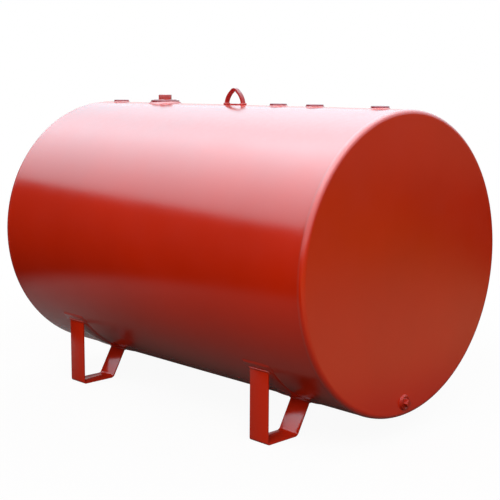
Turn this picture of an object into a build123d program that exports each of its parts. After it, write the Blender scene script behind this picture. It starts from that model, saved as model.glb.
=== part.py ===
from build123d import *

import math
import os

# Lengths are in millimetres, angles in degrees.
# +X runs along the tank to the end with the drain, -Y is the near side, +Z is up.
# The origin is on the floor under the middle of the tank.

# Shell and heads
tank_radius = 584.2
wall = 3.4
tank_length = 1844.0
knuckle_radius = 18.0
knuckle_bands = 4
head_depth = 22.0
seam_width = 11.0
seam_height = 1.8
long_seam_angle = 62.0
ground_clearance = 86.4
cut_overrun = 12.0

# Legs: bent flat bar, coped at both ends to the wear pads
leg_inset = 343.0
leg_width = 96.6
leg_thickness = 6.4
leg_bend_radius = 12.0
leg_outer_angle = 48.92
leg_contact_angle = 20.9
foot_length = 166.0
leg_run_in = 60.0
leg_weld_size = 5.0

# Wear pads between the legs and the shell
pad_width = 146.0
pad_thickness = 4.8
pad_outer_angle = 53.1
pad_inner_angle = 14.0
pad_corner_radius = 12.0

# Places of the threaded fittings along the crown
rear_fitting_inset = 119.0
large_fitting_spacing = 323.0
middle_fitting_offset = 239.0
middle_front_fitting_spacing = 202.0
front_fitting_inset = 151.0

# Small and large threaded fittings
small_outer_radius = 35.2
small_bore_radius = 28.0
small_rise = 10.0
small_depth = 33.0
large_outer_radius = 64.3
large_bore_radius = 53.0
large_rise = 13.5
large_depth = 38.0
small_weld_size = 7.0
large_weld_size = 9.0
weld_height_share = 0.8
fitting_clearance = 0.3

# Plugs in the small fittings, with a square socket, and in the large one
small_plug_recess = 1.6
small_plug_depth = 22.0
socket_width = 20.6
socket_depth = 12.0
large_plug_collar = 2.5
large_plug_depth = 26.0
large_head_width = 55.6
large_head_height = 22.0
large_head_turn = 45.0
head_chamfer = 2.0

# Drain low on the front head
drain_inset = 56.2
drain_outer_radius = 27.0
drain_bore_radius = 19.6
drain_rise = 9.0
drain_depth = 22.0
drain_weld_size = 6.0
drain_plug_depth = 18.0
drain_head_width = 23.0
drain_head_height = 15.0
drain_head_turn = 45.0

# Lifting loop on its pad near the middle of the crown
loop_offset = -18.6
loop_bar_depth = 21.0
loop_bar_thickness = 10.0
loop_base_margin = 3.0
loop_shoulder_half = 46.0
loop_shoulder_height = 34.0
loop_apex_height = 74.0
loop_bend_radius = 28.0
loop_pad_length = 118.0
loop_pad_width = 30.0
loop_pad_rise = 5.0
loop_pad_sink = 0.5
loop_pad_corner = 6.0
loop_weld_size = 3.0

# Derived places
shell_length = tank_length - 2 * head_depth
shell_half = shell_length / 2
head_face = tank_length / 2
axis_height = ground_clearance + tank_radius
crown_height = axis_height + tank_radius
inner_radius = tank_radius - wall
pad_radius = tank_radius + pad_thickness
leg_station = head_face - leg_inset
leg_outer_y = pad_radius * math.sin(math.radians(leg_outer_angle))
foot_inner_y = leg_outer_y - foot_length
leg_contact_y = pad_radius * math.sin(math.radians(leg_contact_angle))
leg_contact_z = axis_height - pad_radius * math.cos(math.radians(leg_contact_angle))
leg_top_z = axis_height - pad_radius * math.cos(math.radians(leg_outer_angle)) + leg_run_in
small_fittings = {
    "rear_fitting": rear_fitting_inset - head_face,
    "middle_fitting": middle_fitting_offset,
    "middle_front_fitting": middle_fitting_offset + middle_front_fitting_spacing,
    "front_fitting": head_face - front_fitting_inset,
}
drain_height = ground_clearance + drain_inset
large_station = rear_fitting_inset - head_face + large_fitting_spacing
loop_base_half = loop_pad_length / 2 - loop_base_margin
quarter_turn = 90
end_names = {1: "front", -1: "rear"}
side_names = {-1: "near", 1: "far"}

os.makedirs("parts", exist_ok=True)


def save(part, label):
    part.label = label
    export_step(part, "parts/" + label + ".step")


# Shell
with BuildPart() as shell:
    with BuildSketch(Plane.YZ.offset(-shell_half)):
        with Locations((0, axis_height)):
            Circle(tank_radius)
            Circle(inner_radius, mode=Mode.SUBTRACT)
    extrude(amount=shell_length)
    with BuildSketch(Plane.XY.offset(axis_height)):
        for station in small_fittings.values():
            with Locations((station, 0)):
                Circle(small_outer_radius + fitting_clearance)
        with Locations((large_station, 0)):
            Circle(large_outer_radius + fitting_clearance)
    extrude(amount=tank_radius + cut_overrun, mode=Mode.SUBTRACT)
save(shell.part, "shell")

# Flanged flat heads, the front one holed for the drain
for end, name in end_names.items():
    seam_x = end * shell_half
    face_x = end * (shell_half + head_depth)
    knuckle_x = end * (shell_half + head_depth - knuckle_radius)
    knuckle_points = [
        (
            knuckle_x + end * knuckle_radius * math.sin(math.radians(quarter_turn * band / knuckle_bands)),
            crown_height - knuckle_radius
            + knuckle_radius * math.cos(math.radians(quarter_turn * band / knuckle_bands)),
        )
        for band in range(knuckle_bands + 1)
    ]
    with BuildPart() as head:
        with BuildSketch(Plane.XZ):
            with BuildLine():
                Polyline(
                    (seam_x, crown_height - wall),
                    (seam_x, crown_height),
                    *knuckle_points,
                    (face_x, axis_height),
                    (face_x - end * wall, axis_height),
                    (face_x - end * wall, crown_height - knuckle_radius),
                    (knuckle_x, crown_height - wall),
                    close=True,
                )
            make_face()
        revolve(axis=Axis((0, 0, axis_height), (1, 0, 0)))
        if end > 0:
            with BuildSketch(Plane.YZ.offset(face_x - wall - cut_overrun)):
                with Locations((0, drain_height)):
                    Circle(drain_outer_radius + fitting_clearance)
            extrude(amount=wall + 2 * cut_overrun, mode=Mode.SUBTRACT)
    save(head.part, name + "_head")

    # Round seam between the head and the shell
    with BuildPart() as seam:
        with BuildSketch(Plane.XZ):
            with BuildLine():
                Polyline(
                    (seam_x - seam_width / 2, crown_height),
                    (seam_x + seam_width / 2, crown_height),
                    (seam_x, crown_height + seam_height),
                    close=True,
                )
            make_face()
        revolve(axis=Axis((0, 0, axis_height), (1, 0, 0)))
    save(seam.part, name + "_head_weld")

# Straight seam along the shell, on the far side
with BuildPart() as long_seam:
    with BuildSketch(Plane.YZ.offset(-shell_half + seam_width / 2)):
        with Locations((0, axis_height)):
            Circle(tank_radius + seam_height)
            Circle(tank_radius, mode=Mode.SUBTRACT)
            with PolarLocations(tank_radius, 1, start_angle=quarter_turn - long_seam_angle):
                Rectangle(2 * cut_overrun, seam_width, mode=Mode.INTERSECT)
    extrude(amount=shell_length - seam_width)
save(long_seam.part, "shell_seam_weld")

# Wear pads and legs
for end, end_name in end_names.items():
    for side, side_name in side_names.items():
        corner = end_name + "_" + side_name
        station = end * leg_station
        start_angle = -quarter_turn + side * pad_inner_angle
        sweep = side * (pad_outer_angle - pad_inner_angle)
        with BuildPart() as pad:
            with BuildSketch(Plane.YZ.offset(station - pad_width / 2)):
                with BuildLine():
                    inside = CenterArc((0, axis_height), tank_radius, start_angle, sweep)
                    outside = CenterArc((0, axis_height), pad_radius, start_angle, sweep)
                    Line(inside @ 0, outside @ 0)
                    Line(inside @ 1, outside @ 1)
                make_face()
            extrude(amount=pad_width)
            straight_edges = pad.edges().filter_by(GeomType.LINE)
            fillet(straight_edges.filter_by(Axis.X, reverse=True), pad_corner_radius)
        save(pad.part, corner + "_wear_pad")

        outer = side * leg_outer_y
        inner = side * foot_inner_y
        contact = side * leg_contact_y
        run = math.hypot(foot_inner_y - leg_contact_y, leg_contact_z)
        run_in_y = contact - side * leg_run_in * (foot_inner_y - leg_contact_y) / run
        run_in_z = leg_contact_z + leg_run_in * leg_contact_z / run
        leg_line = [
            (outer, leg_top_z),
            (outer, 0),
            (inner, 0),
            (run_in_y, run_in_z),
        ]
        with BuildPart() as leg:
            with BuildSketch(Plane.YZ.offset(station - leg_width / 2)):
                with BuildLine():
                    FilletPolyline(*leg_line, radius=leg_bend_radius)
                    offset(amount=leg_thickness, side=Side.LEFT if side < 0 else Side.RIGHT)
                make_face()
            extrude(amount=leg_width)
            with BuildSketch(Plane.YZ.offset(station - leg_width / 2 - cut_overrun)):
                with Locations((0, axis_height)):
                    Circle(pad_radius)
            extrude(amount=leg_width + 2 * cut_overrun, mode=Mode.SUBTRACT)
        save(leg.part, corner + "_leg")

        # Weld band around both ends of the leg
        with BuildPart() as leg_weld:
            with BuildSketch(Plane.YZ.offset(station - leg_width / 2 - leg_weld_size)):
                with BuildLine():
                    FilletPolyline(*leg_line, radius=leg_bend_radius)
                    offset(amount=leg_thickness, side=Side.LEFT if side < 0 else Side.RIGHT)
                make_face()
                offset(amount=leg_weld_size, kind=Kind.INTERSECTION)
            extrude(amount=leg_width + 2 * leg_weld_size)
            with BuildSketch(Plane.YZ.offset(station - leg_width / 2 - cut_overrun)):
                with Locations((0, axis_height)):
                    Circle(pad_radius + leg_weld_size)
                    Circle(pad_radius, mode=Mode.SUBTRACT)
            extrude(amount=leg_width + 2 * cut_overrun, mode=Mode.INTERSECT)
            add(leg.part, mode=Mode.SUBTRACT)
        save(leg_weld.part, corner + "_leg_weld")

# Fittings on the crown
kinds = [
    (name, station, small_outer_radius, small_bore_radius, small_rise, small_depth, small_weld_size)
    for name, station in small_fittings.items()
]
kinds.append(
    (
        "large_fitting",
        large_station,
        large_outer_radius,
        large_bore_radius,
        large_rise,
        large_depth,
        large_weld_size,
    )
)
for name, station, outer_radius, bore_radius, rise, depth, weld_size in kinds:
    with BuildPart() as coupling:
        with BuildSketch(Plane.XY.offset(crown_height - depth)):
            with Locations((station, 0)):
                Circle(outer_radius)
                Circle(bore_radius, mode=Mode.SUBTRACT)
        extrude(amount=depth + rise)
    save(coupling.part, name)
    if name == "large_fitting":
        continue
    with BuildPart() as plug:
        plug_top = crown_height + rise - small_plug_recess
        with BuildSketch(Plane.XY.offset(plug_top - small_plug_depth)):
            with Locations((station, 0)):
                Circle(bore_radius - fitting_clearance)
        extrude(amount=small_plug_depth)
        with BuildSketch(Plane.XY.offset(plug_top - socket_depth)):
            with Locations((station, 0)):
                Rectangle(socket_width, socket_width)
        extrude(amount=socket_depth, mode=Mode.SUBTRACT)
    save(plug.part, name + "_plug")

# Fillet welds round the fittings, each cut to the curve of the shell
with BuildPart() as fitting_welds:
    for name, station, outer_radius, bore_radius, rise, depth, weld_size in kinds:
        weld_height = weld_size * weld_height_share
        toe_radius = outer_radius + weld_size + weld_size / weld_height_share
        with BuildSketch(Plane.XZ):
            with BuildLine():
                Polyline(
                    (station + outer_radius, crown_height - weld_size),
                    (station + outer_radius, crown_height + weld_height),
                    (station + toe_radius, crown_height - weld_size),
                    close=True,
                )
            make_face()
        revolve(axis=Axis((station, 0, 0), (0, 0, 1)))
    with BuildSketch(Plane.YZ.offset(-shell_half)):
        with Locations((0, axis_height)):
            Circle(tank_radius)
    extrude(amount=shell_length, mode=Mode.SUBTRACT)
save(fitting_welds.part, "fitting_welds")

# Square-headed plug in the large fitting
with BuildPart() as large_plug:
    collar_top = crown_height + large_rise + large_plug_collar
    with BuildSketch(Plane.XY.offset(collar_top - large_plug_depth)):
        with Locations((large_station, 0)):
            Circle(large_bore_radius - fitting_clearance)
    extrude(amount=large_plug_depth)
    with BuildSketch(Plane.XY.offset(collar_top)):
        with Locations(Location((large_station, 0, 0), (0, 0, large_head_turn))):
            Rectangle(large_head_width, large_head_width)
    extrude(amount=large_head_height)
    chamfer(large_plug.faces().sort_by(Axis.Z)[-1].edges(), head_chamfer)
save(large_plug.part, "large_fitting_plug")

# Drain fitting, its weld and its square-headed plug
with BuildPart() as drain:
    with BuildSketch(Plane.YZ.offset(head_face - drain_depth)):
        with Locations((0, drain_height)):
            Circle(drain_outer_radius)
            Circle(drain_bore_radius, mode=Mode.SUBTRACT)
    extrude(amount=drain_depth + drain_rise)
save(drain.part, "drain_fitting")

with BuildPart() as drain_weld:
    with BuildSketch(Plane.XZ):
        with BuildLine():
            Polyline(
                (head_face, drain_height + drain_outer_radius),
                (head_face + drain_weld_size, drain_height + drain_outer_radius),
                (head_face, drain_height + drain_outer_radius + drain_weld_size),
                close=True,
            )
        make_face()
    revolve(axis=Axis((0, 0, drain_height), (1, 0, 0)))
save(drain_weld.part, "drain_fitting_weld")

with BuildPart() as drain_plug:
    with BuildSketch(Plane.YZ.offset(head_face + drain_rise - drain_plug_depth)):
        with Locations((0, drain_height)):
            Circle(drain_bore_radius - fitting_clearance)
    extrude(amount=drain_plug_depth)
    with BuildSketch(Plane.YZ.offset(head_face + drain_rise)):
        with Locations(Location((0, drain_height, 0), (0, 0, drain_head_turn))):
            Rectangle(drain_head_width, drain_head_width)
    extrude(amount=drain_head_height)
    chamfer(drain_plug.faces().sort_by(Axis.X)[-1].edges(), head_chamfer)
save(drain_plug.part, "drain_plug")

# Lifting loop, its pad and the welds at its feet
pad_top = crown_height + loop_pad_rise
with BuildPart() as loop_pad:
    with BuildSketch(Plane.XY.offset(crown_height - loop_pad_sink)):
        with Locations((loop_offset, 0)):
            RectangleRounded(loop_pad_length, loop_pad_width, loop_pad_corner)
    extrude(amount=loop_pad_sink + loop_pad_rise)
    with BuildSketch(Plane.YZ.offset(loop_offset - loop_pad_length / 2 - cut_overrun)):
        with Locations((0, axis_height)):
            Circle(tank_radius)
    extrude(amount=loop_pad_length + 2 * cut_overrun, mode=Mode.SUBTRACT)
save(loop_pad.part, "lifting_loop_pad")

leg_slope = (loop_base_half - loop_shoulder_half) / loop_shoulder_height
low_half = loop_base_half + leg_slope * loop_bar_thickness
with BuildPart() as loop:
    with BuildSketch(Plane.XZ):
        with BuildLine():
            FilletPolyline(
                (loop_offset - low_half, pad_top - loop_bar_thickness),
                (loop_offset - loop_shoulder_half, pad_top + loop_shoulder_height),
                (loop_offset, pad_top + loop_apex_height),
                (loop_offset + loop_shoulder_half, pad_top + loop_shoulder_height),
                (loop_offset + low_half, pad_top - loop_bar_thickness),
                radius=loop_bend_radius,
            )
            offset(amount=loop_bar_thickness, side=Side.RIGHT)
        make_face()
    extrude(amount=loop_bar_depth / 2, both=True)
    split(bisect_by=Plane.XY.offset(pad_top), keep=Keep.TOP)
save(loop.part, "lifting_loop")

with BuildPart() as loop_weld:
    with BuildSketch(Plane.XY.offset(pad_top)):
        foot_offset = loop_base_half - loop_bar_thickness / 2
        with Locations((loop_offset - foot_offset, 0), (loop_offset + foot_offset, 0)):
            Rectangle(loop_bar_thickness + 2 * loop_weld_size, loop_bar_depth + 2 * loop_weld_size)
    extrude(amount=loop_weld_size, taper=quarter_turn / 2)
    add(loop.part, mode=Mode.SUBTRACT)
save(loop_weld.part, "lifting_loop_weld")
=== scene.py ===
import math

import bmesh
import bpy
from bpy.props import FloatProperty, FloatVectorProperty, PointerProperty
from mathutils import Matrix, Vector, noise


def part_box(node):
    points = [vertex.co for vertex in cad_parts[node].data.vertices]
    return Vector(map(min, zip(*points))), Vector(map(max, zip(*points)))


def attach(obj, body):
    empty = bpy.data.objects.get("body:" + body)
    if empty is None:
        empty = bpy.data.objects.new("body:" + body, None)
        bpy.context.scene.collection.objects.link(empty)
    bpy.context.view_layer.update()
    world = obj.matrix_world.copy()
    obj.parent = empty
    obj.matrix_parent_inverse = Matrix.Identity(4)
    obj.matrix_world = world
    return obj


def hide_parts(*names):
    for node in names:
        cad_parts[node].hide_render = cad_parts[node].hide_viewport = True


bl_info = {
    "name": "Horizontal Storage Tank",
    "version": (1, 0, 0),
    "blender": (4, 5, 0),
    "location": "View3D > Sidebar > Tank",
    "description": "Builds the painted finish of a horizontal steel storage tank on its frame",
    "category": "Add Mesh",
}

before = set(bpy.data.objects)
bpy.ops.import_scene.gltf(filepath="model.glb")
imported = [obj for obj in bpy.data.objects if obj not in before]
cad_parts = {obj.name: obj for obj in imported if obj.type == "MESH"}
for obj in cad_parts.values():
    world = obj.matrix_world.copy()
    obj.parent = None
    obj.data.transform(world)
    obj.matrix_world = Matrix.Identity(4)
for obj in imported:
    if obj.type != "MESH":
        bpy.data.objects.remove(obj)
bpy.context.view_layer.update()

ENDS = {"front": 1, "rear": -1}
SIDES = {"near": -1, "far": 1}
CORNERS = [(end + "_" + side, ENDS[end], SIDES[side]) for end in ENDS for side in SIDES]
SMALL_FITTINGS = ("rear_fitting", "middle_fitting", "middle_front_fitting", "front_fitting")

LENGTHWAYS = Vector((1, 0, 0))
CROSSWAYS = Vector((0, 1, 0))
UPWARDS = Vector((0, 0, 1))

# In metres: how deep a seam's root lies in the plate, how far a seam or leg is sunk into what
# carries it, the gap round a plug, and the wear pads' thickness
SEAM_ROOT = 0.0012
SINK = 0.0002
SCREW_GAP = 0.0003
PAD_THICKNESS = 0.0034
ROUND_STEPS = 96

WHITE = (1, 1, 1, 1)
BLACK = (0, 0, 0, 1)
DARK = (0.012, 0.012, 0.012, 1)
DUST = (0.55, 0.42, 0.36, 1)

shell_low, shell_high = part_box("shell")
head_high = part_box("front_head")[1]
pad_low, pad_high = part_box("front_near_wear_pad")
leg_low, leg_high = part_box("front_near_leg")


def middle(node):
    """The middle of a node's box"""
    low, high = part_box(node)
    return (low + high) / 2


# Settings


class TankSizes(bpy.types.PropertyGroup):
    """Sizes of the tank's painted steelwork"""

    radius: FloatProperty(
        name="Radius", description="Outside radius of the shell", unit="LENGTH",
        default=(shell_high.z - shell_low.z) / 2,
    )
    axis_height: FloatProperty(
        name="Axis height", description="Height of the tank's axis above the floor", unit="LENGTH",
        default=(shell_high.z + shell_low.z) / 2,
    )
    shell_half: FloatProperty(
        name="Half shell", description="Half the length of the shell between the head seams", unit="LENGTH",
        default=shell_high.x,
    )
    face: FloatProperty(
        name="Head face", description="Distance from the middle to a head's flat face", unit="LENGTH",
        default=head_high.x,
    )
    wall: FloatProperty(
        name="Wall", description="Thickness of the shell and head plate", unit="LENGTH", default=0.0034,
    )
    knuckle: FloatProperty(
        name="Knuckle", description="Outside radius of the bend round a head", unit="LENGTH", default=0.018,
    )
    waviness: FloatProperty(
        name="Waviness", description="How far the rolled plate departs from a true cylinder", unit="LENGTH",
        default=0.00035,
    )
    ripple: FloatProperty(
        name="Weld ripple", description="Length of one ripple of a weld bead", unit="LENGTH", default=0.0048,
    )
    edge: FloatProperty(
        name="Edge", description="Rounding of the cut plate edges", unit="LENGTH", default=0.0009,
    )


class TankColours(bpy.types.PropertyGroup):
    """Paint colours and gloss of the tank"""

    shell: FloatVectorProperty(
        name="Shell", description="Paint on the shell and heads", subtype="COLOR", size=3,
        min=0, max=1, default=(0.62, 0.019, 0.001),
    )
    legs: FloatVectorProperty(
        name="Legs", description="Paint on the legs and wear pads", subtype="COLOR", size=3,
        min=0, max=1, default=(0.60, 0.020, 0.003),
    )
    fittings: FloatVectorProperty(
        name="Fittings", description="Paint on the fittings", subtype="COLOR", size=3,
        min=0, max=1, default=(0.26, 0.009, 0.018),
    )
    loop: FloatVectorProperty(
        name="Lifting loop", description="Paint on the lifting loop and its pad", subtype="COLOR", size=3,
        min=0, max=1, default=(0.40, 0.020, 0.018),
    )
    welds: FloatVectorProperty(
        name="Welds", description="Paint on the weld beads", subtype="COLOR", size=3,
        min=0, max=1, default=(0.58, 0.030, 0.012),
    )
    plugs: FloatVectorProperty(
        name="Plugs", description="Paint on the plugs", subtype="COLOR", size=3,
        min=0, max=1, default=(0.39, 0.022, 0.016),
    )
    roughness: FloatProperty(
        name="Roughness", description="Roughness of the semi-gloss paint", min=0, max=1, default=0.2,
    )


class StageSettings(bpy.types.PropertyGroup):
    """Floor, light and background"""

    floor_tone: FloatProperty(
        name="Floor", description="Tone of the pale floor", min=0, max=1, default=0.9,
    )
    sheen: FloatProperty(
        name="Sheen", description="Brightness of the sheet that the paint reflects", min=0, default=3.0,
    )
    surround_angle: FloatProperty(
        name="Surround angle", description="How high the dark surround rises", subtype="ANGLE",
        default=math.radians(19.6),
    )
    sky: FloatProperty(
        name="Sky", description="Strength of the light from all round", min=0, default=0.45,
    )
    key: FloatProperty(
        name="Key light", description="Power of the lamp above the near front corner", min=0, default=500,
    )


# Mesh helpers


def cross_tank(angle, radius, x):
    """A point round the tank, with the angle measured from straight down towards the near side"""
    axis_height = bpy.context.scene.tank_sizes.axis_height
    return Vector((x, -radius * math.sin(angle), axis_height - radius * math.cos(angle)))


def chain(bm, points, closed=False):
    """A run of edges through the points"""
    verts = [bm.verts.new(point) for point in points]
    ends = verts[1:] + verts[:1] if closed else verts[1:]
    return [bm.edges.new(pair) for pair in zip(verts, ends)]


def picked(items, kind):
    """The vertices, edges or faces among what an operator gives back"""
    return [item for item in items if isinstance(item, kind)]


def face_outwards(bm):
    bmesh.ops.recalc_face_normals(bm, faces=bm.faces[:])


def full_spin(bm, centre, axis, steps):
    """Turns everything in the mesh once round an axis"""
    bmesh.ops.spin(
        bm, geom=bm.verts[:] + bm.edges[:], cent=centre, axis=axis,
        angle=math.tau, steps=steps, use_merge=True, use_duplicate=False,
    )
    bmesh.ops.remove_doubles(bm, verts=bm.verts[:], dist=1e-6)
    face_outwards(bm)


def spun(points, centre, axis, steps, closed=False):
    """A mesh made by turning a run of points once round an axis"""
    bm = bmesh.new()
    chain(bm, points, closed)
    full_spin(bm, centre, axis, steps)
    return bm


def turn_upright(profile, centre, closed=False):
    """Turns a profile of radius and height round the upright line through a fitting"""
    shift = Vector((centre.x, 0, 0))
    points = [Vector((reach, 0, height)) + shift for reach, height in profile]
    return spun(points, shift, UPWARDS, ROUND_STEPS, closed)


def turn_lengthways(profile, height, closed=False):
    """Turns a profile of place along the tank and radius round a level line at the height"""
    points = [Vector((along, 0, height + reach)) for along, reach in profile]
    return spun(points, (0, 0, height), LENGTHWAYS, ROUND_STEPS, closed)


def sharp_edges(bm, angle=50):
    return [e for e in bm.edges if e.is_manifold and e.calc_face_angle(0) > math.radians(angle)]


def round_edges(bm, edges, offset, segments=2):
    bmesh.ops.bevel(
        bm, geom=edges, offset=offset, offset_type="OFFSET", segments=segments,
        profile=0.5, affect="EDGES", clamp_overlap=True, material=-1,
    )


def flat_plate(length, width, rows, corner, segments):
    """A flat plate with rounded corners"""
    bm = bmesh.new()
    bmesh.ops.create_grid(bm, x_segments=2, y_segments=rows, size=0.5)
    bmesh.ops.scale(bm, vec=(length, width, 1), verts=bm.verts[:])
    corners = [v for v in bm.verts if len(v.link_faces) == 1]
    bmesh.ops.bevel(
        bm, geom=corners, offset=corner, offset_type="OFFSET", segments=segments,
        profile=0.5, affect="VERTICES", material=-1,
    )
    return bm


def folded_bar(line, breadth, thickness, bend, segments, outward):
    """A flat bar folded along a line that its outside follows, facing outward where it is outermost"""
    bm = bmesh.new()
    grown = bmesh.ops.extrude_edge_only(bm, edges=chain(bm, line))
    bmesh.ops.translate(bm, vec=breadth, verts=picked(grown["geom"], bmesh.types.BMVert))
    bmesh.ops.translate(bm, vec=-breadth / 2, verts=bm.verts[:])
    folds = [e for e in bm.edges if len(e.link_faces) == 2]
    round_edges(bm, folds, bend, segments)
    face_outwards(bm)
    outermost = max(bm.faces, key=lambda f: f.calc_center_median().dot(outward))
    if outermost.normal.dot(outward) < 0:
        bmesh.ops.reverse_faces(bm, faces=bm.faces[:])
    bmesh.ops.solidify(bm, geom=bm.faces[:], thickness=thickness)
    face_outwards(bm)
    return bm


def square_head(axis, size, place, corner, corner_segments, crest):
    """A block turned 45 degrees on its axis, with its long edges and its outer rim rounded"""
    bm = bmesh.new()
    bmesh.ops.create_cube(bm, size=1)
    bmesh.ops.scale(bm, vec=size, verts=bm.verts[:])
    way = "XYZ".index(axis)
    long_edges = [e for e in bm.edges if abs(e.verts[0].co[way] - e.verts[1].co[way]) > 0.001]
    round_edges(bm, long_edges, corner, corner_segments)
    rim = [e for e in sharp_edges(bm) if all(v.co[way] > 0 for v in e.verts)]
    round_edges(bm, rim, crest, segments=3)
    turned = Matrix.Translation(place) @ Matrix.Rotation(math.radians(45), 4, axis)
    bmesh.ops.transform(bm, matrix=turned, verts=bm.verts[:])
    return bm


def join(bm, other):
    """Adds another mesh to this one and frees it"""
    holder = bpy.data.meshes.new("holder")
    other.to_mesh(holder)
    other.free()
    bm.from_mesh(holder)
    bpy.data.meshes.remove(holder)


def divided(corners, step):
    """Points about one step apart along the closed line through the corners"""
    points = []
    for start, end in zip(corners, corners[1:] + corners[:1]):
        count = max(1, round((end - start).length / step))
        points += [start.lerp(end, index / count) for index in range(count)]
    return points


def weld_bead(bm, corners, size, ripple):
    """Sweeps a rippled bead along the closed line through the corners and adds it to the mesh"""
    wander, pinch = 0.1, 0.86
    path = divided(corners, ripple / 2)
    curve = bpy.data.curves.new("bead", "CURVE")
    curve.dimensions = "3D"
    curve.bevel_depth = size
    curve.bevel_resolution = 2
    spline = curve.splines.new("POLY")
    spline.use_cyclic_u = True
    spline.points.add(len(path) - 1)
    for index, point in enumerate(path):
        spline.points[index].co = (*point, 1)
        spline.points[index].radius = 1 + wander * noise.noise(Vector(point) * 60)
        if index % 2:
            spline.points[index].radius *= pinch
    holder = add_object("bead", curve)
    mesh = bpy.data.meshes.new_from_object(holder)
    bm.from_mesh(mesh)
    bpy.data.objects.remove(holder)
    bpy.data.curves.remove(curve)
    bpy.data.meshes.remove(mesh)


def add_object(name, data):
    """Puts a new object into the scene"""
    item = bpy.data.objects.new(name, data)
    bpy.context.collection.objects.link(item)
    return item


def finish(name, bm, paint, nodes, smooth=35):
    """Makes the mesh a piece that rides on the frame and stands for its CAD nodes"""
    mesh = bpy.data.meshes.new(name)
    bm.to_mesh(mesh)
    bm.free()
    mesh.shade_smooth()
    mesh.set_sharp_from_angle(angle=math.radians(smooth))
    mesh.materials.append(paint)
    piece = add_object(name, mesh)
    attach(piece, "root")
    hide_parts(*nodes)
    return piece


# Material helpers


def new_material(name):
    """A node material, with its tree and its main shader"""
    material = bpy.data.materials.new(name)
    material.use_nodes = True
    return material, material.node_tree, material.node_tree.nodes["Principled BSDF"]


def add_node(tree, kind, inputs=None, **properties):
    """A shader node with its properties set and each input given a value or a link"""
    node = tree.nodes.new("ShaderNode" + kind)
    for key, value in properties.items():
        setattr(node, key, value)
    for key, value in (inputs or {}).items():
        if isinstance(value, bpy.types.NodeSocket):
            tree.links.new(value, node.inputs[key])
        else:
            node.inputs[key].default_value = value
    return node


def object_place(tree):
    return add_node(tree, "TexCoord").outputs["Object"]


def parts_of(tree, vector):
    """The X, Y and Z of a vector"""
    return add_node(tree, "SeparateXYZ", {"Vector": vector}).outputs


def distance(tree, place):
    """How far a place is from the floor's middle, below the tank"""
    return add_node(tree, "VectorMath", {0: place}, operation="LENGTH").outputs["Value"]


def pattern(tree, place, scale, detail, roughness=0.5):
    """A cloudy noise from zero to one"""
    inputs = {"Vector": place, "Scale": scale, "Detail": detail, "Roughness": roughness}
    return add_node(tree, "TexNoise", inputs).outputs["Fac"]


def map_range(tree, value, span, result=(0, 1), curve="LINEAR"):
    """Maps a value from one span of numbers to another"""
    inputs = {
        "Value": value, "From Min": span[0], "From Max": span[1],
        "To Min": result[0], "To Max": result[1],
    }
    return add_node(tree, "MapRange", inputs, interpolation_type=curve).outputs["Result"]


def calculate(tree, operation, first, second):
    return add_node(tree, "Math", {0: first, 1: second}, operation=operation).outputs["Value"]


def blend_colours(tree, factor, first, second):
    inputs = {"Factor": factor, "A": first, "B": second}
    return add_node(tree, "Mix", inputs, data_type="RGBA").outputs["Result"]


def mix_shaders(tree, factor, first, second):
    return add_node(tree, "MixShader", {"Fac": factor, 1: first, 2: second}).outputs["Shader"]


def seen_or_mirrored(tree):
    """One for rays from the camera, in gloss or through glass, and zero for bounced light"""
    path = add_node(tree, "LightPath")
    total = path.outputs["Is Camera Ray"]
    for ray in ("Is Glossy Ray", "Is Transmission Ray"):
        total = calculate(tree, "MAXIMUM", total, path.outputs[ray])
    return total


def paint_material(name, colour, roughness, peel, dust, specular=0.5):
    """Semi-gloss sprayed paint with slight orange peel, uneven colour and settled dust"""
    material, tree, shader = new_material(name)
    shader.inputs["Specular IOR Level"].default_value = specular
    place = object_place(tree)
    darkest, lightest = 0.95, 1.03
    smoothest, roughest = 0.88, 1.14
    coat_span, dusty_slope, patch_span = (0.34, 0.68), (0.72, 1.0), (0.3, 0.7)
    peel_depth = 0.0004

    # Broad, faint unevenness of the coat
    cloud = pattern(tree, place, scale=2.2, detail=5)
    coat = add_node(tree, "ValToRGB", {"Fac": cloud})
    darker, lighter = coat.color_ramp.elements
    darker.position = coat_span[0]
    darker.color = (*[channel * darkest for channel in colour], 1)
    lighter.position = coat_span[1]
    lighter.color = (*[min(1, channel * lightest) for channel in colour], 1)

    # Dust lies on what faces up
    facing = parts_of(tree, add_node(tree, "NewGeometry").outputs["Normal"])
    speckle = pattern(tree, place, scale=38, detail=6, roughness=0.7)
    lying = map_range(tree, facing["Z"], dusty_slope, (0, dust))
    amount = calculate(tree, "MULTIPLY", lying, speckle)
    dusty = blend_colours(tree, amount, coat.outputs["Color"], DUST)
    tree.links.new(dusty, shader.inputs["Base Color"])

    # Gloss varies a little from place to place
    patch = pattern(tree, place, scale=7, detail=4)
    gloss = map_range(tree, patch, patch_span, (roughness * smoothest, roughness * roughest))
    tree.links.new(gloss, shader.inputs["Roughness"])

    # Orange peel
    skin = pattern(tree, place, scale=210, detail=2)
    bump = add_node(tree, "Bump", {"Strength": peel, "Distance": peel_depth, "Height": skin})
    tree.links.new(bump.outputs["Normal"], shader.inputs["Normal"])
    return material


# Operators


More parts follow.
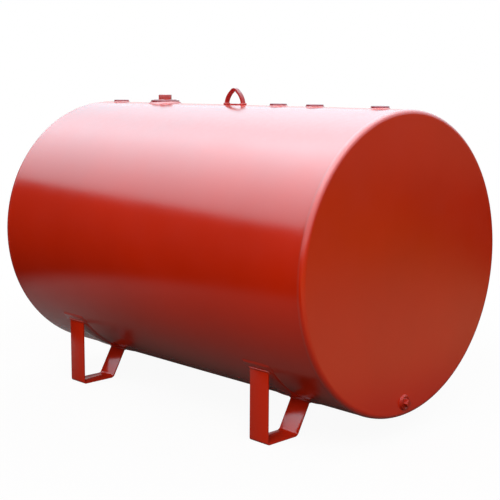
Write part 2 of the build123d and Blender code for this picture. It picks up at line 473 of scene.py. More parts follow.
class AddShell(bpy.types.Operator):
    """Rolled shell with slight waviness, and the straight seam along its far side"""

    bl_idname = "tank.add_shell"
    bl_label = "Add Shell"

    def execute(self, context):
        sizes = context.scene.tank_sizes
        colours = context.scene.tank_colours
        paint = paint_material("shell_enamel", colours.shell, colours.roughness, peel=0.12, dust=0.10)
        finish("tank_shell", self.plate(sizes), paint, ["shell"])
        weld = paint_material("weld_enamel", colours.welds, colours.roughness, peel=0.3, dust=0.10)
        finish("shell_seam_bead", self.seam(sizes), weld, ["shell_seam_weld"], smooth=60)
        return {"FINISHED"}

    def plate(self, sizes):
        """A tube with open ends that waves a little between them"""
        rings, turns = 110, 300
        waves_along, waves_round = 2.3, 1.7
        half = sizes.shell_half
        top = sizes.axis_height + sizes.radius
        outer = [Vector((-half + 2 * half * index / rings, 0, top)) for index in range(rings + 1)]
        inner = [Vector((x, 0, outer[0].z - sizes.wall)) for x in (half, -half)]
        bm = spun(outer + inner, (0, 0, sizes.axis_height), LENGTHWAYS, turns, closed=True)
        for vert in bm.verts:
            away = Vector((0, vert.co.y, vert.co.z - sizes.axis_height)).normalized()
            calm = 1 - (abs(vert.co.x) / half) ** 6
            spot = Vector((vert.co.x * waves_along, away.y * waves_round, away.z * waves_round))
            vert.co += away * sizes.waviness * calm * noise.noise(spot)
        return bm

    def seam(self, sizes):
        """A low bead with curved ripples"""
        height, width, swelling, curl = 0.0014, 0.011, 0.22, 10400
        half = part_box("shell_seam_weld")[1].x
        seam = middle("shell_seam_weld")
        turn = math.atan2(seam.y, seam.z - sizes.axis_height)
        bm = bmesh.new()
        steps = round(half * 2 / sizes.ripple * 2)
        bmesh.ops.create_grid(bm, x_segments=steps, y_segments=6, size=0.5)
        for vert in bm.verts:
            along, across = vert.co.x * 2 * half, vert.co.y * width
            swell = 1 + swelling * math.sin(math.tau * (along / sizes.ripple - curl * across ** 2))
            lift = height * (1 - (2 * vert.co.y) ** 2) * swell - SINK
            angle = turn + across / sizes.radius
            reach = sizes.radius + lift
            vert.co = (along, reach * math.sin(angle), sizes.axis_height + reach * math.cos(angle))
        bmesh.ops.solidify(bm, geom=bm.faces[:], thickness=SEAM_ROOT)
        face_outwards(bm)
        return bm


class AddHeads(bpy.types.Operator):
    """Flat heads with a rounded knuckle, and the seam that joins each to the shell"""

    bl_idname = "tank.add_heads"
    bl_label = "Add Heads"

    def execute(self, context):
        sizes = context.scene.tank_sizes
        paint = bpy.data.materials["shell_enamel"]
        weld = bpy.data.materials["weld_enamel"]
        for end, sign in ENDS.items():
            head = self.head(sizes, sign)
            finish(end + "_tank_head", head, paint, [end + "_head"])
            seam = self.seam(sizes, sign)
            finish(end + "_head_bead", seam, weld, [end + "_head_weld"], smooth=60)
        return {"FINISHED"}

    def head(self, sizes, sign):
        """A plate with a slight hollow and a knuckle that is bent back to meet the shell"""
        turns, fold_step, fold_margin = 256, 5, 0.004
        hollow, unevenness, spread = 0.0004, 0.0006, 3.1
        rings = [0.53, 0.48, 0.42, 0.36, 0.3, 0.24, 0.18, 0.12, 0.06, 0]
        bm = bmesh.new()
        axis, knuckle = sizes.axis_height, sizes.knuckle
        top = axis + sizes.radius
        bend = sizes.face - knuckle
        flat = sizes.radius - knuckle
        folds = [math.radians(angle) for angle in range(0, 91, fold_step)]
        arc = [
            Vector((bend + knuckle * math.sin(turn), 0, top - knuckle * (1 - math.cos(turn))))
            for turn in folds
        ]
        face = [Vector((sizes.face, 0, axis + reach)) for reach in [flat - fold_margin] + rings]
        back = [
            Vector((sizes.face - sizes.wall, 0, axis)),
            Vector((sizes.face - sizes.wall, 0, top - knuckle)),
            Vector((bend, 0, top - sizes.wall)),
            Vector((sizes.shell_half, 0, top - sizes.wall)),
        ]
        edges = chain(bm, [Vector((sizes.shell_half, 0, top))] + arc + face + back, closed=True)
        axis_edge = [e for e in edges if all(abs(v.co.z - axis) < 1e-6 for v in e.verts)]
        bmesh.ops.delete(bm, geom=axis_edge, context="EDGES")
        full_spin(bm, (0, 0, axis), LENGTHWAYS, turns)
        for vert in bm.verts:
            reach = math.hypot(vert.co.y, vert.co.z - axis)
            if vert.co.x > bend and reach < flat:
                slack = 1 - (reach / flat) ** 2
                sway = noise.noise(Vector((vert.co.y * spread, vert.co.z * spread, sign * 4.0)))
                vert.co.x += slack * (unevenness * sway - hollow)
        if sign < 0:
            bmesh.ops.transform(bm, matrix=Matrix.Diagonal((-1, 1, 1, 1)), verts=bm.verts[:])
        face_outwards(bm)
        return bm

    def seam(self, sizes, sign):
        """A low bead round the tank with curved ripples"""
        half, height, swelling, curl, lumps = 0.0055, 0.0007, 0.2, 1.2, 9
        top = sizes.axis_height + sizes.radius
        centre = sign * sizes.shell_half
        cap = [
            Vector((centre + half * t, 0, top + height * (1 - t * t) - SINK))
            for t in (-1, -0.6, -0.2, 0.2, 0.6, 1)
        ]
        root = [Vector((cap[end].x, 0, top - SEAM_ROOT)) for end in (-1, 0)]
        ripples = round(math.tau * sizes.radius / sizes.ripple)
        bm = spun(cap + root, (0, 0, sizes.axis_height), LENGTHWAYS, ripples * 2, closed=True)
        for vert in bm.verts:
            away = Vector((0, vert.co.y, vert.co.z - sizes.axis_height))
            angle = math.atan2(away.y, away.z)
            over = away.length - sizes.radius
            if over > 0:
                across = (vert.co.x - centre) / half
                swell = swelling * math.cos(ripples * angle + curl * across * across)
                swell += swelling * noise.noise(Vector((angle * lumps, across, sign)))
                vert.co += away.normalized() * over * swell
        return bm


class AddWearPads(bpy.types.Operator):
    """Rolled wear pads with rounded corners and feathered rims between the shell and the legs"""

    bl_idname = "tank.add_wear_pads"
    bl_label = "Add Wear Pads"

    def execute(self, context):
        sizes = context.scene.tank_sizes
        colours = context.scene.tank_colours
        paint = paint_material(
            "leg_enamel", colours.legs, colours.roughness * 0.65, peel=0.1, dust=0.03, specular=0.34,
        )
        rim, feather = 0.0004, 0.009
        outer = math.acos((sizes.axis_height - pad_high.z) / sizes.radius)
        inner = math.asin(-pad_high.y / sizes.radius)
        width = pad_high.x - pad_low.x
        length = (outer - inner) * sizes.radius
        for corner, end_sign, side_sign in CORNERS:
            station = end_sign * middle("front_near_wear_pad").x
            bm = flat_plate(width, length, rows=48, corner=0.012, segments=6)
            grown = bmesh.ops.extrude_face_region(bm, geom=bm.faces[:])
            top = picked(grown["geom"], bmesh.types.BMFace)
            bmesh.ops.translate(bm, vec=UPWARDS * rim, verts=list({v for f in top for v in f.verts}))
            face_outwards(bm)
            bmesh.ops.inset_region(bm, faces=top, thickness=feather, depth=0, use_even_offset=True)
            inside = list({v for f in top for v in f.verts})
            bmesh.ops.translate(bm, vec=UPWARDS * (PAD_THICKNESS - rim), verts=inside)
            for vert in bm.verts:
                angle = (outer + inner) / 2 + vert.co.y / sizes.radius
                point = cross_tank(angle, sizes.radius + vert.co.z, station + vert.co.x)
                vert.co = (point.x, -side_sign * point.y, point.z)
            face_outwards(bm)
            finish(corner + "_saddle_pad", bm, paint, [corner + "_wear_pad"])
        return {"FINISHED"}


class AddLegs(bpy.types.Operator):
    """Legs bent from flat bar, coped to the wear pads, with a weld round each end"""

    bl_idname = "tank.add_legs"
    bl_label = "Add Legs"

    # Where a line up the upright side and one up the leaning side start, below the pad
    UPRIGHT_START = 0.1
    STRUT_START = 0.05

    def execute(self, context):
        sizes = context.scene.tank_sizes
        paint = bpy.data.materials["leg_enamel"]
        weld = bpy.data.materials["weld_enamel"]
        thickness, bend, bead = 0.0064, 0.012, 0.0036
        foot_length, uncut_upright, uncut_strut = 0.166, 0.25, 0.13
        contact_depth, contact_angle = 0.0048, math.radians(20.9)
        outside = -leg_low.y
        width = leg_high.x - leg_low.x
        station = middle("front_near_leg").x

        # The foot lies between toe and heel, and the leaning side runs from the heel to its contact
        toe = Vector((0, outside, 0))
        heel = Vector((0, outside - foot_length, 0))
        contact = sizes.radius + contact_depth
        touch = Vector((
            0, contact * math.sin(contact_angle), sizes.axis_height - contact * math.cos(contact_angle),
        ))
        strut = (touch - heel).normalized()
        strip = [toe + UPWARDS * uncut_upright, toe, heel, heel + strut * uncut_strut]
        overlap, margin = 0.0012, 0.001
        half = width / 2 + margin
        ends = (
            (toe + UPWARDS * self.UPRIGHT_START, UPWARDS, -CROSSWAYS),
            (heel + strut * self.STRUT_START, strut, Vector((0, strut.z, -strut.y))),
        )
        for corner, end_sign, side_sign in CORNERS:
            bm = folded_bar(strip, LENGTHWAYS * width, thickness, bend, segments=9, outward=-UPWARDS)
            self.cope(bm, sizes, outside, strut)
            round_edges(bm, sharp_edges(bm), sizes.edge)
            for vert in bm.verts:
                vert.co = (end_sign * station + vert.co.x, side_sign * vert.co.y, vert.co.z)
            face_outwards(bm)
            finish(corner + "_strap_leg", bm, paint, [corner + "_leg"])

            bm = bmesh.new()
            for base, direction, inward in ends:
                one = self.reach_pad(sizes, base - inward * overlap, direction)
                two = self.reach_pad(sizes, base + inward * (thickness + overlap), direction)
                loop = [
                    Vector((end_sign * station + x, side_sign * point.y, point.z))
                    for x, point in ((-half, one), (half, one), (half, two), (-half, two))
                ]
                weld_bead(bm, loop, bead, sizes.ripple)
            finish(corner + "_leg_bead", bm, weld, [corner + "_leg_weld"], smooth=70)
        return {"FINISHED"}

    def cope(self, bm, sizes, outside, strut):
        """Runs both ends of the strip up to the pad, so that each is cut to its curve"""
        upright_above, strut_above, strut_inside = 0.24, 0.1, outside - 0.05
        for vert in bm.verts:
            if vert.co.z > upright_above:
                base = Vector((0, vert.co.y, self.UPRIGHT_START))
                vert.co.z = self.reach_pad(sizes, base, UPWARDS).z
            elif vert.co.z > strut_above and vert.co.y < strut_inside:
                base = Vector((0, vert.co.y, vert.co.z)) - strut * self.STRUT_START
                vert.co.yz = self.reach_pad(sizes, base, strut).yz

    def reach_pad(self, sizes, start, direction):
        """Moves a point along a line until it meets the pad's outside"""
        seat = sizes.radius + PAD_THICKNESS - SINK
        to_axis = Vector((0, 0, sizes.axis_height)) - start
        along = to_axis.dot(direction)
        off = math.sqrt(max(0, seat ** 2 - (to_axis.length ** 2 - along ** 2)))
        return start + direction * (along - off)


class AddFittings(bpy.types.Operator):
    """Threaded fittings along the crown with their plugs and fillet welds"""

    bl_idname = "tank.add_fittings"
    bl_label = "Add Fittings"

    def execute(self, context):
        sizes = context.scene.tank_sizes
        colours = context.scene.tank_colours
        rough = colours.roughness
        body_paint = paint_material("fitting_enamel", colours.fittings, rough, peel=0.2, dust=0.12)
        plug_paint = paint_material("plug_enamel", colours.plugs, rough * 1.15, peel=0.35, dust=0.15)
        weld = bpy.data.materials["weld_enamel"]
        beads = bmesh.new()
        for name in SMALL_FITTINGS + ("large_fitting",):
            low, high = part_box(name)
            plug_low, plug_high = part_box(name + "_plug")
            centre = middle(name)
            outside = (high.x - low.x) / 2
            if name == "large_fitting":
                bore, pitch, leg = 0.053, 0.0032, 0.0105
                plug = self.headed_plug(centre, bore - SCREW_GAP, plug_low.z, high.z, plug_high.z)
            else:
                bore, pitch, leg = 0.028, 0.0022, 0.0046
                plug = self.flush_plug(centre, bore - SCREW_GAP, plug_low.z, plug_high.z)
            body = self.body(centre, low.z, high.z, outside, bore, pitch)
            finish(name + "_body", body, body_paint, [name])
            join(beads, self.fillet(sizes, centre, outside, leg))
            finish(name + "_stopper", plug, plug_paint, [name + "_plug"], smooth=30)
        finish("fitting_beads", beads, weld, ["fitting_welds"], smooth=60)
        return {"FINISHED"}

    def body(self, centre, bottom, rim, outside, bore, pitch):
        """A short pipe with a chamfered mouth and its first threads"""
        bevel, mouth, turns, thread_depth = 0.0022, 0.003, 5, 0.0011
        thread = []
        for turn in range(turns):
            crest = rim - mouth - turn * pitch
            thread += [(bore, crest), (bore + thread_depth, crest - pitch / 2)]
        profile = [
            (outside, bottom),
            (outside, rim - bevel),
            (outside - bevel * 0.3, rim - bevel * 0.3),
            (outside - bevel, rim),
            (bore + mouth, rim),
            *thread,
            (bore, bottom),
        ]
        return turn_upright(profile, centre, closed=True)

    def fillet(self, sizes, centre, outside, leg):
        """A fillet weld with ripples that follows the curve of the shell"""
        swelling, wander, curl, lumps, root = 0.09, 0.10, 1.4, 3, 0.001
        crown = sizes.axis_height + sizes.radius
        ripples = round(math.tau * (outside + leg / 2) / sizes.ripple)
        section = [
            (-root, -leg * 0.5), (-root / 2, leg * 0.8), (leg * 0.35, leg * 0.62),
            (leg * 0.75, leg * 0.26), (leg * 1.12, 0.0), (leg * 1.12, -leg * 0.3),
        ]
        points = [Vector((centre.x + outside + out, 0, crown + up)) for out, up in section]
        bm = spun(points, (centre.x, 0, 0), UPWARDS, ripples * 2, closed=True)
        for vert in bm.verts:
            away = Vector((vert.co.x - centre.x, vert.co.y, 0))
            angle = math.atan2(away.y, away.x)
            out = (away.length - outside) / leg
            if out > 0.1:
                swell = swelling * math.cos(ripples * angle + curl * out)
                swell += wander * noise.noise(Vector((angle * lumps, out, centre.x * 9)))
                vert.co += away.normalized() * leg * swell
                vert.co.z += leg * 0.5 * swell
            vert.co.z -= sizes.radius - math.sqrt(sizes.radius ** 2 - vert.co.y ** 2)
        return bm

    def headed_plug(self, centre, clear, bottom, rim, top):
        """A plug with a low collar and a square head"""
        chamfer, recess, buried, across = 0.0018, 0.0006, 0.004, 0.0556
        proud, collar_inside, recess_outside = 0.0025, 0.036, 0.034
        collar = rim + proud
        profile = [
            (0, bottom), (clear, bottom), (clear, collar - chamfer), (clear - chamfer, collar),
            (collar_inside, collar), (recess_outside, collar - recess), (0, collar - recess),
        ]
        bm = turn_upright(profile, centre)
        size = (across, across, top - collar + buried)
        place = (centre.x, 0, (top + collar - buried) / 2)
        join(bm, square_head("Z", size, place, corner=0.0045, corner_segments=5, crest=0.0022))
        return bm

    def flush_plug(self, centre, clear, bottom, top):
        """A flat plug with a square socket"""
        half_socket, socket_depth, border, edge = 0.0103, 0.012, 0.004, 0.0006
        longest, near_top = 0.01, top - 0.001
        bm = bmesh.new()
        bmesh.ops.create_circle(bm, cap_ends=True, radius=clear, segments=ROUND_STEPS)
        grown = bmesh.ops.extrude_face_region(bm, geom=bm.faces[:])
        moved = picked(grown["geom"], bmesh.types.BMVert)
        bmesh.ops.translate(bm, vec=UPWARDS * (top - bottom), verts=moved)
        face_outwards(bm)
        lid = max(bm.faces, key=lambda f: f.calc_center_median().z)
        bmesh.ops.inset_individual(bm, faces=[lid], thickness=border)
        for vert in lid.verts:
            big = max(abs(vert.co.x), abs(vert.co.y))
            vert.co.x *= half_socket / big
            vert.co.y *= half_socket / big
        sunk = bmesh.ops.extrude_discrete_faces(bm, faces=[lid])["faces"]
        bmesh.ops.translate(bm, vec=UPWARDS * -socket_depth, verts=sunk[0].verts[:])
        bmesh.ops.translate(bm, vec=(centre.x, 0, bottom), verts=bm.verts[:])
        rim = [
            e for e in sharp_edges(bm)
            if e.calc_length() < longest and min(v.co.z for v in e.verts) > near_top
        ]
        round_edges(bm, rim, edge)
        face_outwards(bm)
        return bm


class AddDrain(bpy.types.Operator):
    """Drain fitting low on the front head with its weld and square-headed plug"""

    bl_idname = "tank.add_drain"
    bl_label = "Add Drain"

    def execute(self, context):
        sizes = context.scene.tank_sizes
        colours = context.scene.tank_colours
        # Shell paint darkened to two thirds: painted shade that keeps the drain, its weld and its plug
        # subdued on the head
        shell_in_painted_shade = [channel * 0.66 for channel in colours.shell]
        paint = paint_material(
            "drain_shaded_enamel", shell_in_painted_shade, colours.roughness * 1.6, peel=0.2, dust=0.1, specular=0.28,
        )
        low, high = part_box("drain_fitting")
        height = (low.z + high.z) / 2
        outside = (high.z - low.z) / 2
        bore, bevel, mouth = 0.0196, 0.0018, 0.002
        profile = [
            (low.x, outside),
            (high.x - bevel, outside),
            (high.x - bevel * 0.3, outside - bevel * 0.3),
            (high.x, outside - bevel),
            (high.x, bore + mouth),
            (high.x - mouth, bore),
            (low.x, bore),
        ]
        body = turn_lengthways(profile, height, closed=True)
        finish("drain_body", body, paint, ["drain_fitting"])

        bead = self.bead(sizes, height, outside)
        finish("drain_bead", bead, paint, ["drain_fitting_weld"], smooth=60)

        plug_low, plug_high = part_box("drain_plug")
        across, buried, proud, chamfer = 0.023, 0.002, 0.0002, 0.0012
        clear = bore - SCREW_GAP
        face = high.x + proud
        profile = [
            (plug_low.x, 0), (plug_low.x, clear), (face - chamfer, clear), (face, clear - chamfer), (face, 0),
        ]
        plug = turn_lengthways(profile, height)
        size = (plug_high.x - high.x + buried, across, across)
        place = ((plug_high.x + high.x - buried) / 2, 0, height)
        join(plug, square_head("X", size, place, corner=0.0022, corner_segments=4, crest=0.0014))
        finish("drain_stopper", plug, paint, ["drain_plug"], smooth=30)
        return {"FINISHED"}

    def bead(self, sizes, height, outside):
        """A fillet weld with ripples on the flat head"""
        leg, root, deep, shallow = 0.0034, 0.003, 0.0008, 0.0005
        swelling, wander, curl, lumps, seed = 0.1, 0.12, 1.5, 3, 5
        section = [
            (-root, -deep), (leg, -shallow), (leg * 0.66, leg * 0.36),
            (leg * 0.3, leg * 0.78), (0, leg * 1.05), (-root, leg * 1.05),
        ]
        points = [Vector((sizes.face + along, 0, height + outside + out)) for along, out in section]
        ripples = round(math.tau * (outside + leg / 2) / sizes.ripple)
        bm = spun(points, (0, 0, height), LENGTHWAYS, ripples * 4, closed=True)
        for vert in bm.verts:
            away = Vector((0, vert.co.y, vert.co.z - height))
            angle = math.atan2(away.y, away.z)
            out = (away.length - outside) / leg
            if out > 0.1 and vert.co.x > sizes.face:
                swell = swelling * math.cos(ripples * angle + curl * out)
                swell += wander * noise.noise(Vector((angle * lumps, out, seed)))
                vert.co += away.normalized() * leg * swell
                vert.co.x += leg * 0.4 * swell
        return bm


class AddLiftingLoop(bpy.types.Operator):
    """Lifting loop bent from flat bar, its base pad and the welds at its feet"""

    bl_idname = "tank.add_lifting_loop"
    bl_label = "Add Lifting Loop"

    def execute(self, context):
        sizes = context.scene.tank_sizes
        colours = context.scene.tank_colours
        paint = paint_material(
            "loop_enamel", colours.loop, colours.roughness, peel=0.2, dust=0.12, specular=0.18,
        )
        weld = bpy.data.materials["weld_enamel"]
        low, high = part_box("lifting_loop")
        plate_low, plate_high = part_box("lifting_loop_pad")
        centre = (low.x + high.x) / 2
        half = (high.x - low.x) / 2
        depth = high.y - low.y
        bar = 0.010

        loop = self.loop(centre, low.z, half, depth, bar)
        finish("lifting_loop_bar", loop, paint, ["lifting_loop"])
        plate = self.plate(sizes, centre, plate_low, plate_high)
        finish("lifting_base", plate, paint, ["lifting_loop_pad"])

        overlap, lift, bead = 0.0006, 0.0005, 0.0030
        along, across = bar / 2 + overlap, depth / 2 + overlap
        bm = bmesh.new()
        for sign in (-1, 1):
            foot = centre + sign * (half - bar / 2)
            ring = [
                Vector((foot + a * along, b * across, plate_high.z + lift))
                for a, b in ((-1, -1), (1, -1), (1, 1), (-1, 1))
            ]
            weld_bead(bm, ring, bead, sizes.ripple)
        finish("lifting_bead", bm, weld, ["lifting_loop_weld"], smooth=70)
        return {"FINISHED"}

    def loop(self, centre, base, half, depth, bar):
        """A bar with a rounded peak and shoulders, cut level where it stands on its pad"""
        inset, rise, peak, sink = 0.010, 0.034, 0.074, 0.012
        bend, edge, cut = 0.020, 0.0016, 0.001
        shoulder = half - inset
        slope = (half - shoulder) / rise
        foot = half + slope * sink
        outline = ((-foot, -sink), (-shoulder, rise), (0, peak), (shoulder, rise), (foot, -sink))
        line = [Vector((centre + x, 0, base + z)) for x, z in outline]
        bm = folded_bar(line, CROSSWAYS * depth, bar, bend, segments=12, outward=UPWARDS)
        round_edges(bm, sharp_edges(bm), edge, segments=3)
        face_outwards(bm)
        ends = bmesh.ops.bisect_plane(
            bm, geom=bm.verts[:] + bm.edges[:] + bm.faces[:], plane_co=(0, 0, base - cut),
            plane_no=UPWARDS, clear_inner=True,
        )
        bmesh.ops.holes_fill(bm, edges=picked(ends["geom_cut"], bmesh.types.BMEdge))
        face_outwards(bm)
        return bm

    def plate(self, sizes, centre, low, high):
        """A small plate, flat on top and hollowed below to sit on the shell"""
        bury, edge, near_top = 0.0003, 0.001, high.z - 0.0005
        bm = flat_plate(high.x - low.x, high.y - low.y, rows=4, corner=0.006, segments=5)
        grown = bmesh.ops.extrude_face_region(bm, geom=bm.faces[:])
        bmesh.ops.translate(bm, vec=UPWARDS, verts=picked(grown["geom"], bmesh.types.BMVert))
        for vert in bm.verts:
            saddle = sizes.axis_height + math.sqrt(sizes.radius ** 2 - vert.co.y ** 2) - bury
            vert.co.z = high.z if vert.co.z > 0.5 else saddle
            vert.co.x += centre
        face_outwards(bm)
        rim = [e for e in sharp_edges(bm, 60) if all(v.co.z > near_top for v in e.verts)]
        round_edges(bm, rim, edge)
        face_outwards(bm)
        return bm


class AddStage(bpy.types.Operator):
    """Pale floor, soft light, dark surround for the reflections and the camera"""

    bl_idname = "tank.add_stage"
    bl_label = "Add Stage"

    def execute(self, context):
        stage = context.scene.tank_stage
        self.add_world(context.scene, stage.sky)
        self.add_floor(stage.floor_tone)
        self.add_surround(stage)
        self.add_lamps(stage.key)
        self.add_camera(context.scene)
        context.scene.view_settings.view_transform = "Standard"
        return {"FINISHED"}

    def add_world(self, scene, strength):
        """Even light from all round, and white where it is seen or mirrored"""
        world = bpy.data.worlds.new("studio")
        scene.world = world
        world.use_nodes = True
        tree = world.node_tree
        dim = tree.nodes["Background"]
        dim.inputs["Color"].default_value = WHITE
        dim.inputs["Strength"].default_value = strength
        white = add_node(tree, "Background", {"Color": WHITE}).outputs["Background"]
        either = mix_shaders(tree, seen_or_mirrored(tree), dim.outputs["Background"], white)
        tree.links.new(either, tree.nodes["World Output"].inputs["Surface"])

    def add_floor(self, tone):
        reach, drop = 60, 0.0005
        bm = bmesh.new()
        bmesh.ops.create_circle(bm, cap_ends=True, radius=reach, segments=ROUND_STEPS)
        floor = self.add_backdrop("floor", bm, self.floor_material(tone))
        floor.location.z = -drop

    def add_surround(self, stage):
        """Dark surround and a bright glowing sheet that show in the gloss and nowhere else: painted
        reflections of dark ground and bright sky
        """
        far, eye, ground, steps = 12.0, 0.9, 0.001, 128
        bank_angle, sky_start, sky_end = (math.radians(angle) for angle in (6, 12, 46))

        def height_at(angle):
            return eye + far * math.tan(angle)

        # Ground and a low bank all round, seen only in the gloss and coloured as painted reflections
        line = [Vector((0, 0, ground)), Vector((far, 0, ground)), Vector((far, 0, height_at(bank_angle)))]
        bm = spun(line, (0, 0, 0), UPWARDS, steps)
        surround = self.surround_material()
        self.hide_but_in_gloss(self.add_backdrop("surround", bm, surround))

        # A higher bank from the rear end towards the near side, lower straight beyond the rear end: a dark
        # sheet that paints a dark horizon into the gloss
        rise = height_at(stage.surround_angle)
        reach, sweep, steps = far - 0.1, math.radians(62), 72
        slope_start, slope = 9.4, 0.23
        bm = bmesh.new()
        chain(bm, [Vector((-reach, 0, 0)), Vector((-reach, 0, rise))])
        bmesh.ops.spin(
            bm, geom=bm.verts[:] + bm.edges[:], cent=(0, 0, 0), axis=UPWARDS,
            angle=sweep, steps=steps, use_merge=False, use_duplicate=False,
        )
        for vert in bm.verts:
            if vert.co.z > 1:
                vert.co.z -= slope * max(0, -vert.co.x - slope_start)
        self.hide_but_in_gloss(self.add_backdrop("near_bank", bm, surround))

        # Bright glowing sheet above, seen only in the gloss: a painted reflection of a bright sky
        sky_low, sky_high = height_at(sky_start), height_at(sky_end)
        shoulder, shoulder_rise, peak_rise = far * 0.6, 4, 6
        line = [
            Vector((far, 0, sky_low)), Vector((far, 0, sky_high)),
            Vector((shoulder, 0, sky_high + shoulder_rise)), Vector((0, 0, sky_high + peak_rise)),
        ]
        bm = spun(line, (0, 0, 0), UPWARDS, ROUND_STEPS)
        glow = self.sheen_material(stage.sheen, rise, sky_high)
        self.hide_but_in_gloss(self.add_backdrop("painted_sky_sheen", bm, glow))

    def add_lamps(self, power):
        """Broad key from above the near front corner, a faint fill from the near side and one from behind"""
        target = Vector((0, 0, 0.7))
        for name, place, width, energy in (
            ("key", (5.48, -4.93, 5.86), 7.0, power),
            ("side_fill", (-1.7, -4.65, 5.65), 3.0, power * 0.1),
            ("back_fill", (-4.8, 5.6, 3.2), 5.0, power * 0.4),
        ):
            lamp = bpy.data.lights.new(name, "AREA")
            lamp.size = width
            lamp.energy = energy
            holder = add_object(name, lamp)
            holder.location = place
            holder.visible_glossy = False
            aim = target - Vector(place)
            holder.rotation_euler = aim.to_track_quat("-Z", "Y").to_euler()

    def add_camera(self, scene):
        """Camera at the photograph's viewing angle, from a fit to the tank's outline"""
        sensor, lens = 36, 77.52
        place = (3.3384, -3.2247, 1.3463)
        turn, tilt, roll = math.radians(45.310), math.radians(8.802), math.radians(0.362)
        camera = bpy.data.cameras.new("camera")
        camera.sensor_width = sensor
        camera.lens = lens
        view = add_object("camera", camera)
        level = math.cos(tilt)
        forward = Vector((-math.sin(turn) * level, math.cos(turn) * level, -math.sin(tilt)))
        right = Vector((math.cos(turn), math.sin(turn), 0))
        upward = right.cross(forward)
        level_right = right * math.cos(roll) + upward * math.sin(roll)
        level_up = upward * math.cos(roll) - right * math.sin(roll)
        grid = Matrix((level_right, level_up, -forward)).transposed().to_4x4()
        view.matrix_world = Matrix.Translation(place) @ grid
        scene.camera = view

    def add_backdrop(self, name, bm, material):
        """Makes the mesh a part of the stage"""
        mesh = bpy.data.meshes.new(name)
        bm.to_mesh(mesh)
        bm.free()
        mesh.materials.append(material)
        sheet = add_object(name, mesh)
        return sheet

    def hide_but_in_gloss(self, sheet):
        """Lets a backdrop show in the gloss of the paint and nowhere else"""
        sheet.visible_camera = False
        sheet.visible_diffuse = False
        sheet.visible_shadow = False
        sheet.visible_transmission = False
        sheet.visible_volume_scatter = False

    def surround_material(self):
        """Colours painted into the gloss as reflections: ground that is grey at the rear and earthy in front,
        dark beyond the tank, and a bank round it
        """
        material, tree, shader = new_material("painted_reflection_surround")
        shader.inputs["Roughness"].default_value = 1
        shader.inputs["Specular IOR Level"].default_value = 0
        place = object_place(tree)
        reach = distance(tree, place)
        parts = parts_of(tree, place)
        along, across, height = parts["X"], parts["Y"], parts["Z"]

        def graded(source, span, first, second):
            """Blends two colours along one measure of the place, over a span in metres"""
            share = map_range(tree, source, span, curve="SMOOTHSTEP")
            return blend_colours(tree, share, first, second)

        rear_grey, beneath_grey = (0.44, 0.43, 0.43, 1), (0.27, 0.245, 0.22, 1)
        front_close, front_distant = (0.70, 0.60, 0.34, 1), (0.42, 0.34, 0.05, 1)
        behind_dark = (0.02, 0.014, 0.012, 1)
        bank_painted_glow, far_painted_glow = (0.36, 0.28, 0.16, 1), (0.52, 0.46, 0.48, 1)
        bank_foot = (0.01, 0.02)

        # Painted reflection of the ground, from the rear end to beyond the front head
        rear = graded(reach, (1.5, 2.0), rear_grey, DARK)
        beneath = graded(reach, (1.6, 2.4), beneath_grey, DARK)
        front = graded(reach, (2.5, 6.0), front_close, front_distant)
        ground = graded(along, (-0.3, -1.6), beneath, rear)
        ground = graded(along, (1.1, 1.7), ground, front)

        # Dark ground on the far side, beyond a slanting line, and a dark bank
        slant = calculate(tree, "SUBTRACT", across, along)
        behind = graded(slant, (0.4, 1.0), ground, behind_dark)
        ground = graded(across, (0.2, 0.7), ground, behind)
        ground = graded(height, bank_foot, ground, DARK)
        tree.links.new(ground, shader.inputs["Base Color"])

        # Painted glow of the bank in front, and pale painted light far out on the far side, which only the
        # gloss shows
        bank = graded(height, bank_foot, BLACK, bank_painted_glow)
        beyond = graded(across, (5.0, 8.0), BLACK, far_painted_glow)
        tree.links.new(graded(along, (1.0, 3.0), beyond, bank), shader.inputs["Emission Color"])
        shader.inputs["Emission Strength"].default_value = 1
        return material

    def sheen_material(self, strength, low, high):
        """Cool bright sheet that glows with no lamp, a painted sky reflection in the gloss; it grows brighter
        upwards and is a little dimmer beyond the tank
        """
        material, tree, shader = new_material("painted_sheen_glow")
        tree.nodes.remove(shader)
        cool = (0.60, 0.89, 1.0, 1)
        high_share, beyond_share, crest_share, crest_height = 2.67, 0.78, 1.6, 2.4
        parts = parts_of(tree, object_place(tree))
        climb = map_range(tree, parts["Z"], (low, high), (strength, strength * high_share))
        beyond = map_range(tree, parts["Y"], (1, 4), (1, beyond_share))
        crest = map_range(tree, parts["Z"], (high, high + crest_height), (1, crest_share))
        total = calculate(tree, "MULTIPLY", climb, beyond)
        total = calculate(tree, "MULTIPLY", total, crest)
        glow = add_node(tree, "Emission", {"Color": cool, "Strength": total})
        tree.links.new(glow.outputs["Emission"], tree.nodes["Material Output"].inputs["Surface"])
        return material

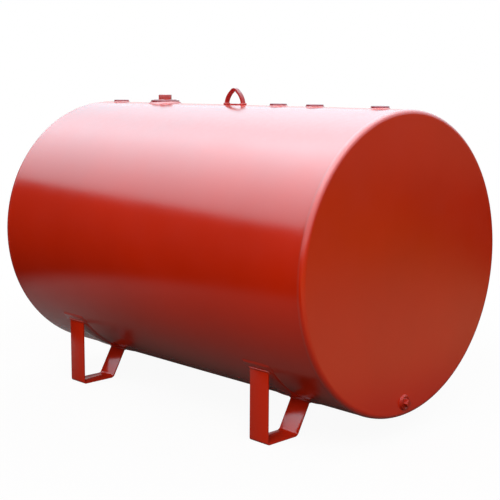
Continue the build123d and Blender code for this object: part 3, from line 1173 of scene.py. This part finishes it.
    def floor_material(self, tone):
        """Pale to the camera and in the gloss, dark to bounced light, fading to plain white far out"""
        material, tree, shader = new_material("floor_pale")
        tree.nodes.remove(shader)
        bounced, fade_span, least_white = (0.03, 0.028, 0.026, 1), (0.9, 3.2), 0.94
        pale = add_node(tree, "BsdfDiffuse", {"Color": (tone, tone, tone, 1)}).outputs["BSDF"]
        white = add_node(tree, "Emission", {"Color": WHITE}).outputs["Emission"]
        dark = add_node(tree, "BsdfDiffuse", {"Color": bounced}).outputs["BSDF"]
        reach = distance(tree, object_place(tree))
        fade = map_range(tree, reach, fade_span, (least_white, 1), curve="SMOOTHSTEP")
        seen = mix_shaders(tree, fade, pale, white)
        choice = mix_shaders(tree, seen_or_mirrored(tree), dark, seen)
        tree.links.new(choice, tree.nodes["Material Output"].inputs["Surface"])
        return material


class TankPanel(bpy.types.Panel):
    """Tank sizes, colours and the steps that build it"""

    bl_idname = "VIEW3D_PT_tank"
    bl_label = "Horizontal Storage Tank"
    bl_space_type = "VIEW_3D"
    bl_region_type = "UI"
    bl_category = "Tank"

    def draw(self, context):
        layout = self.layout
        for group in (context.scene.tank_sizes, context.scene.tank_colours, context.scene.tank_stage):
            column = layout.column()
            for key in group.__annotations__:
                column.prop(group, key)
        for step in STEPS:
            layout.operator(step.bl_idname)


STEPS = (AddShell, AddHeads, AddWearPads, AddLegs, AddFittings, AddDrain, AddLiftingLoop, AddStage)
CLASSES = (TankSizes, TankColours, StageSettings) + STEPS + (TankPanel,)


def register():
    for item in CLASSES:
        bpy.utils.register_class(item)
    bpy.types.Scene.tank_sizes = PointerProperty(type=TankSizes)
    bpy.types.Scene.tank_colours = PointerProperty(type=TankColours)
    bpy.types.Scene.tank_stage = PointerProperty(type=StageSettings)


def unregister():
    del bpy.types.Scene.tank_stage
    del bpy.types.Scene.tank_colours
    del bpy.types.Scene.tank_sizes
    for item in reversed(CLASSES):
        bpy.utils.unregister_class(item)


def main():
    register()
    bpy.ops.tank.add_shell()
    bpy.ops.tank.add_heads()
    bpy.ops.tank.add_wear_pads()
    bpy.ops.tank.add_legs()
    bpy.ops.tank.add_fittings()
    bpy.ops.tank.add_drain()
    bpy.ops.tank.add_lifting_loop()
    bpy.ops.tank.add_stage()
    bpy.context.view_layer.update()


if __name__ == "__main__":
    main()
